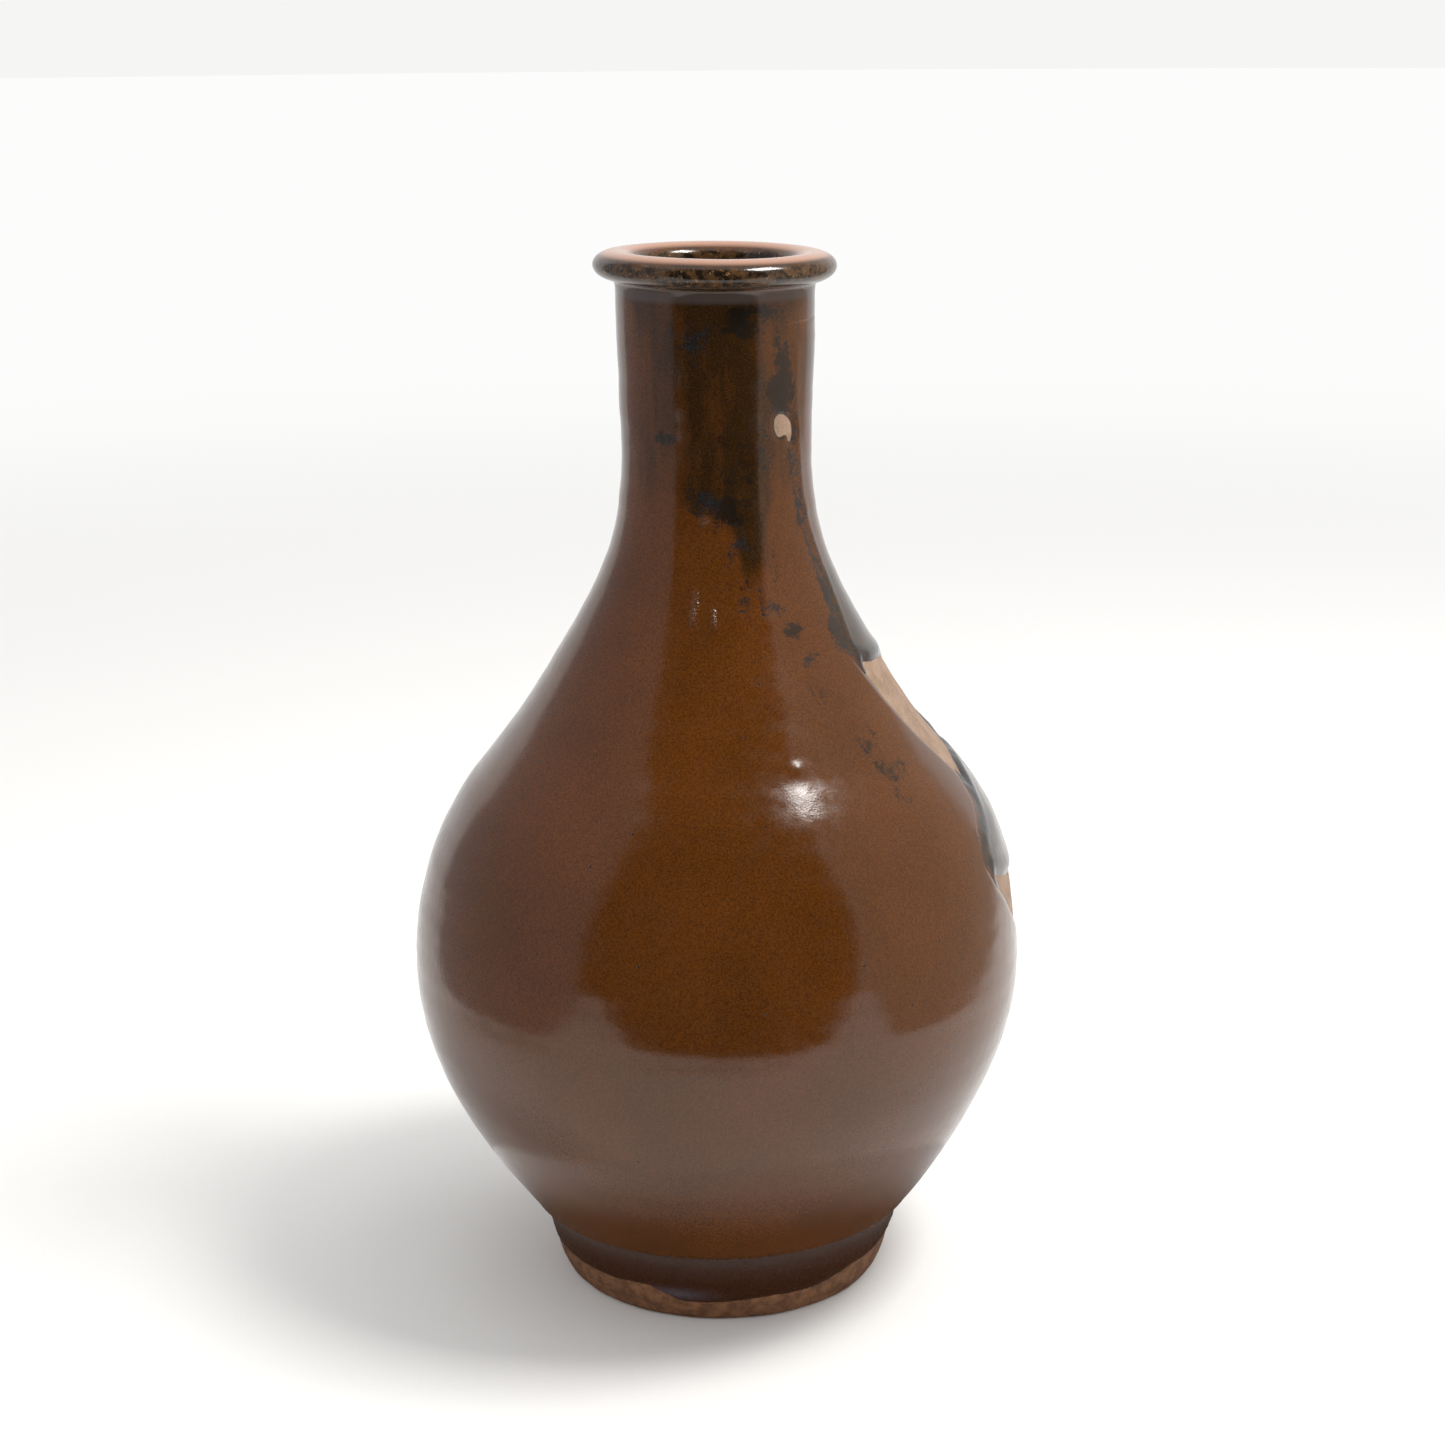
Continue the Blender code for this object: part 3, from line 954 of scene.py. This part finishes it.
def brown_finish():
    """Glossy iron glaze: pits, a worn rim, a mottled lip and a milky line under it."""
    nodes = Nodes("brown_glaze_fired")
    height = nodes.height()
    colour = brown_colour(nodes)
    foot = nodes.band(height, 21.5, 19.5)
    colour = nodes.mix(nodes.math("MULTIPLY", foot, 0.85), colour, (0.030, 0.0075, 0.0010))
    # painted reflection: a bluish patch low on the foot's glaze stands in for the floor's reflection
    colour = nodes.mix(nodes.math("MULTIPLY", nodes.field("painted_floor_reflection"), 0.7), colour, (0.085, 0.075, 0.095))
    milky = nodes.math("MULTIPLY", nodes.band(height, 258.6, 260.2), nodes.band(height, 262.6, 261.4))
    colour = nodes.mix(nodes.math("MULTIPLY", milky, 0.75), colour, MILKY)
    lip = nodes.field("lip")
    face = nodes.math("MULTIPLY", nodes.band(height, 262.4, 264.0), nodes.band(lip, 0.82, 0.45))
    blotches = nodes.band(nodes.noise(2.2, 4.0, 0.7), 0.42, 0.6)
    mottled = nodes.mix(blotches, (0.008, 0.006, 0.004), (0.072, 0.036, 0.014))
    gold = nodes.band(nodes.noise(0.9, 3.0, 0.7), 0.60, 0.70)
    mottled = nodes.mix(gold, mottled, (0.25, 0.14, 0.05))
    colour = nodes.mix(nodes.math("MULTIPLY", face, 0.9), colour, mottled)
    rim = nodes.band(lip, 0.78, 0.97)
    colour = nodes.mix(nodes.math("MULTIPLY", rim, 0.8), colour, (0.40, 0.205, 0.13))
    edge = nodes.field("edge")
    outline_dark = nodes.band(edge, 0.9, 0.25)
    colour = nodes.mix(nodes.math("MULTIPLY", outline_dark, 0.8), colour, PLUM)
    pits, chance = nodes.cells(6.0)
    rare = nodes.new("ShaderNodeSeparateColor")
    nodes.put(rare.inputs[0], chance)
    pits = nodes.math("MULTIPLY", nodes.band(pits, 0.055, 0.035), nodes.band(rare.outputs[0], 0.55, 0.6))
    colour = nodes.mix(pits, colour, (0.006, 0.004, 0.003))
    bump = nodes.bump(nodes.math("SUBTRACT", 1.0, pits), 0.25, ripples(nodes))
    bump = nodes.bump(nodes.math("MULTIPLY", nodes.noise(0.8, 2.0, 0.6), nodes.field("sparkle")), 0.7, bump)
    rough = nodes.math("ADD", glaze_roughness(nodes), nodes.math("MULTIPLY", foot, 0.12))
    return nodes.done(colour, rough, bump, IOR=1.52)


def pour_finish():
    """Dark pour: inky along its edge, broken by brown higher up."""
    nodes = Nodes("dark_glaze_fired")
    height = nodes.height()
    edge = nodes.field("edge")
    over_clay = nodes.band(nodes.field("bare"), -0.5, 1.5)
    near = nodes.math("ADD", edge, nodes.band(nodes.noise(2.0, 3.0, 0.7), 0.3, 0.7, -2.5, 2.5))
    drift = nodes.noise(12.0, 3.0, 0.6, (1, 1, 0.4))
    inside = nodes.mix(nodes.band(drift, 0.35, 0.65), (0.040, 0.018, 0.006), (0.028, 0.022, 0.017))
    flow = nodes.noise(2.6, 5.0, 0.75, (1, 1, 0.3))
    inside = nodes.mix(nodes.band(flow, 0.52, 0.68, 0.0, 0.8), inside, (0.009, 0.008, 0.008))
    low = nodes.band(height, 178.0, 170.0)
    patchy = nodes.math("MAXIMUM", nodes.band(nodes.noise(1.9, 4.0, 0.7), 0.38, 0.52), low)
    brownish = nodes.band(nodes.math("ADD", height, nodes.band(drift, 0.3, 0.7, -14.0, 14.0)), 182.0, 206.0)
    inside = nodes.mix(nodes.math("MULTIPLY", brownish, 0.85), inside, BROWN)
    colour = nodes.mix(nodes.math("MULTIPLY", nodes.band(near, 4.6, 1.6), patchy), inside, BLUE_INK)
    broken = nodes.math("ADD", nodes.noise(1.8, 4.0, 0.75), nodes.band(edge, 0.0, 4.5, -0.25, 0.25))
    hide = nodes.math("MAXIMUM", nodes.band(broken, 0.42, 0.55), nodes.math("MULTIPLY", over_clay, low))
    top = nodes.math("ADD", height, nodes.band(nodes.noise(3.0, 3.0), 0.3, 0.7, -7.0, 7.0))
    hide = nodes.math("MULTIPLY", hide, nodes.band(top, 236.0, 226.0))
    colour = nodes.mix(hide, brown_colour(nodes), speckle(nodes, colour))
    plum = nodes.math("MULTIPLY", nodes.band(edge, 3.2, 0.5), over_clay)
    plum = nodes.math("MULTIPLY", plum, nodes.band(height, 236.0, 226.0))
    colour = nodes.mix(nodes.math("MULTIPLY", plum, 0.7), colour, PLUM)
    return nodes.done(colour, glaze_roughness(nodes), ripples(nodes), IOR=1.52)


def liner_finish():
    """Amber liner with a pale patch just inside the mouth: partly the glaze's own pale colour, partly a
    painted highlight of the lamp.
    """
    nodes = Nodes("liner_glaze_fired")
    split = nodes.new("ShaderNodeSeparateXYZ")
    nodes.put(split.inputs[0], nodes.place)
    leftward = nodes.band(split.outputs["X"], 0.002, -0.016, -0.2, 0.3)
    # pale patch inside the mouth: partly the glaze's own pale colour, partly a painted highlight of the lamp
    pale_patch_and_highlight = nodes.math("ADD", nodes.noise(7.0, 4.0, 0.6), leftward)
    pale_patch_and_highlight = nodes.math("MULTIPLY", nodes.band(pale_patch_and_highlight, 0.55, 0.72), nodes.band(nodes.height(), 225.0, 245.0))
    clouds = nodes.band(nodes.noise(5.0, 4.0, 0.6), 0.35, 0.65)
    amber = nodes.mix(clouds, (0.05, 0.021, 0.006), (0.15, 0.065, 0.014))
    colour = nodes.mix(pale_patch_and_highlight, amber, (0.78, 0.55, 0.39))
    colour = speckle(nodes, colour)
    bump = nodes.bump(nodes.noise(3.0, 3.0, 0.5), 0.05)
    rough = nodes.band(nodes.noise(3.0, 3.0), 0.3, 0.7, 0.14, 0.24)
    return nodes.done(colour, rough, bump, IOR=1.52)


def clay_finish():
    """Stoneware: pale in the windows, toasted on the foot."""
    nodes = Nodes("stoneware_clay_fired")
    height = nodes.height()
    wide = nodes.band(nodes.noise(5.0, 4.0, 0.6), 0.35, 0.65)
    pale = nodes.mix(wide, (0.22, 0.138, 0.084), (0.285, 0.187, 0.125))
    small = nodes.band(nodes.noise(3.0, 4.0, 0.65), 0.35, 0.65)
    toasted = nodes.mix(small, (0.115, 0.046, 0.017), (0.21, 0.092, 0.037))
    colour = nodes.mix(nodes.band(height, 60.0, 24.0), pale, toasted)
    grog, _ = nodes.cells(1.3)
    grains = nodes.math("MULTIPLY", nodes.band(grog, 0.18, 0.08), 0.5)
    colour = nodes.mix(grains, colour, (0.05, 0.025, 0.015))
    colour = speckle(nodes, colour, 0.8, 1.2)
    bump = nodes.bump(nodes.noise(0.8, 4.0, 0.7), 0.10)
    bump = nodes.bump(nodes.noise(3.5, 3.0, 0.6), 0.15, bump)
    dry = nodes.band(height, 60.0, 24.0, 0.0, 0.25)
    rough = nodes.math("ADD", nodes.band(nodes.noise(2.0, 3.0), 0.3, 0.7, 0.5, 0.65), dry)
    return nodes.done(colour, rough, bump, IOR=1.5)


# Studio


def glowing(nodes, colour):
    """The material of these nodes, sending out this colour and reflecting nothing."""
    nodes.shader.inputs["Base Color"].default_value = (0.0, 0.0, 0.0, 1.0)
    nodes.shader.inputs["Specular IOR Level"].default_value = 0.0
    nodes.shader.inputs["Roughness"].default_value = 1.0
    nodes.put(nodes.shader.inputs["Emission Color"], colour)
    nodes.shader.inputs["Emission Strength"].default_value = 1.0
    return nodes.material


# Metres from the bottle's axis, and above the floor
SHADE_REACH = 0.088
CARD_DISTANCE = 1.0
ABOVE_FLOOR = 0.0004


def contact_shade():
    """Painted contact shadow, seen only in reflections: floor close round the foot, glowing dark at the foot
    and fading into the lit paper.
    """
    nodes = Nodes("floor_shade")
    reach = nodes.new("ShaderNodeVectorMath", operation="LENGTH")
    nodes.put(reach.inputs[0], nodes.place)
    fade = nodes.band(reach.outputs["Value"], 0.052, SHADE_REACH)
    colour = nodes.mix(fade, (0.10, 0.070, 0.055), (0.86, 0.85, 0.84))
    return glowing(nodes, colour)


def reflected_only(made):
    """A studio card: it is seen in reflections, and no camera sees it."""
    made.visible_camera = False
    made.visible_diffuse = False
    made.visible_shadow = False
    made.visible_transmission = False


def upright_card(name, first, last, finish, high=1.5):
    """Card standing on part of a circle round the bottle, between two azimuths."""
    azimuths = np.radians(np.linspace(first, last, 25))
    reach = CARD_DISTANCE
    points = [(reach * math.sin(a), -reach * math.cos(a), z) for z in (0.0, high) for a in azimuths]
    count = len(azimuths)
    faces = [(i, i + 1, i + 1 + count, i + count) for i in range(count - 1)]
    reflected_only(build(name, np.array(points) / MM, faces, None, finish))


def floor_card(name, corners, finish):
    """Flat stretch of floor past the paper's edge, seen only in reflections."""
    points = [(x, y, ABOVE_FLOOR) for x, y in corners]
    face = tuple(range(len(points)))
    reflected_only(build(name, np.array(points) / MM, [face], None, finish))


# Stretches of floor past the paper, as corners in metres
FRONT_FLOOR = (
    (-0.59, -0.69),
    (-1.2, -1.3),
    (-1.2, -2.4),
    (1.6, -2.4),
    (1.6, -1.25),
    (0.74, -0.59),
    (0.28, -0.333),
    (0.12, -0.262),
    (0.0, -0.274),
    (-0.136, -0.283),
)
LEFT_FLOOR = (
    (-0.25, -0.15),
    (-0.26, -0.1),
    (-0.33, 0.17),
    (-0.83, 0.58),
    (-1.6, 1.1),
    (-1.6, -1.4),
    (-0.64, -0.64),
)
RIGHT_FLOOR = (
    (0.26, -0.14),
    (0.90, -0.62),
    (2.2, -1.5),
    (2.2, 1.7),
    (0.415, 0.31),
    (0.34, 0.155),
    (0.316, 0.0),
)


def room():
    """The paper's edges and the darker room round it."""
    dark = glowing(Nodes("room_front"), (0.016, 0.013, 0.011))
    dim = glowing(Nodes("room_left"), (0.40, 0.41, 0.45))
    fair = glowing(Nodes("room_right"), (0.68, 0.58, 0.50))
    upright_card("card_front", -49, 52, dark, high=2.6)
    upright_card("card_left", -130, -49.2, dim)
    upright_card("card_right", 54.5, 131, fair)
    floor_card("floor_front", FRONT_FLOOR, dark)
    floor_card("floor_left", LEFT_FLOOR, dim)
    floor_card("floor_right", RIGHT_FLOOR, fair)
    turn = [math.radians(angle) for angle in range(0, 360, 6)]
    disc = [(SHADE_REACH * math.cos(a), SHADE_REACH * math.sin(a)) for a in turn]
    # painted contact shadow: a glowing disc round the foot, seen only in reflections
    floor_card("painted_contact_shadow", disc, contact_shade())


def floor():
    """Pale paper, lit near the bottle and evenly bright far away."""
    bpy.ops.mesh.primitive_circle_add(vertices=96, radius=12.0, fill_type="TRIFAN")
    made = bpy.context.object
    made.name = "floor"
    nodes = Nodes("paper")
    split = nodes.new("ShaderNodeVectorMath", operation="LENGTH")
    nodes.put(split.inputs[0], nodes.place)
    far = nodes.band(split.outputs["Value"], 0.35, 1.8)
    grain = nodes.band(nodes.noise(0.7, 3.0, 0.6), 0.2, 0.8, 0.0, 1.0)
    nodes.put(nodes.shader.inputs["Base Color"], nodes.mix(grain, (0.80, 0.795, 0.785), (0.83, 0.825, 0.815)))
    nodes.shader.inputs["Roughness"].default_value = 0.9
    nodes.shader.inputs["Specular IOR Level"].default_value = 0.1
    glow = nodes.new("ShaderNodeEmission")
    glow.inputs["Color"].default_value = (0.975, 0.975, 0.97, 1.0)
    join = nodes.new("ShaderNodeMixShader")
    nodes.put(join.inputs[0], far)
    nodes.tree.links.new(nodes.shader.outputs[0], join.inputs[1])
    nodes.tree.links.new(glow.outputs[0], join.inputs[2])
    nodes.tree.links.new(join.outputs[0], nodes.tree.nodes["Material Output"].inputs["Surface"])
    made.data.materials.append(nodes.material)


def world():
    made = bpy.data.worlds.new("studio")
    made.use_nodes = True
    sky = made.node_tree.nodes["Background"]
    sky.inputs["Color"].default_value = (0.92, 0.915, 0.91, 1.0)
    bpy.context.scene.world = made


LIGHTS_AIM = Vector((0.0, 0.0, 0.12))


def area(name, azimuth, elevation, distance_m, size, power, glossy_too=True):
    """Rectangular lamp turned towards the bottle."""
    a, e = math.radians(azimuth), math.radians(elevation)
    light = bpy.data.lights.new(name, "AREA")
    light.shape = "RECTANGLE"
    light.size, light.size_y = size
    light.energy = power
    light.color = (1.0, 0.985, 0.96)
    made = bpy.data.objects.new(name, light)
    bpy.context.scene.collection.objects.link(made)
    back = Vector((math.sin(a) * math.cos(e), -math.cos(a) * math.cos(e), math.sin(e)))
    made.location = LIGHTS_AIM + back * distance_m
    made.rotation_euler = back.to_track_quat("Z", "Y").to_euler()
    made.visible_camera = False
    made.visible_glossy = glossy_too
    return made


CAMERA_PLACE = (1.2, -664.0, 330.3)
CAMERA_DOWN, CAMERA_ROLL = 15.286, -0.424
LENS, SENSOR = 66.17, 36.0


def camera():
    data = bpy.data.cameras.new("camera")
    data.lens, data.sensor_width = LENS, SENSOR
    made = bpy.data.objects.new("camera", data)
    bpy.context.scene.collection.objects.link(made)
    pitch, roll = math.radians(90 - CAMERA_DOWN), math.radians(CAMERA_ROLL)
    made.matrix_world = (
        Matrix.Translation(Vector(CAMERA_PLACE) * MM)
        @ Matrix.Rotation(pitch, 4, "X")
        @ Matrix.Rotation(roll, 4, "Z")
    )
    bpy.context.scene.camera = made


camera()
world()
floor()
room()
area("key", 108, 52, 0.9, (0.8, 0.8), 2.3, glossy_too=False)
area("window", 71, 61, 0.85, (0.28, 0.2), 5.6)
bpy.context.scene.view_settings.view_transform = "Standard"

clay = clay_finish()
clay_body(clay)
clay_foot(clay)
glaze_coat(brown_finish())
glaze_pour(pour_finish())
glaze_liner(liner_finish())
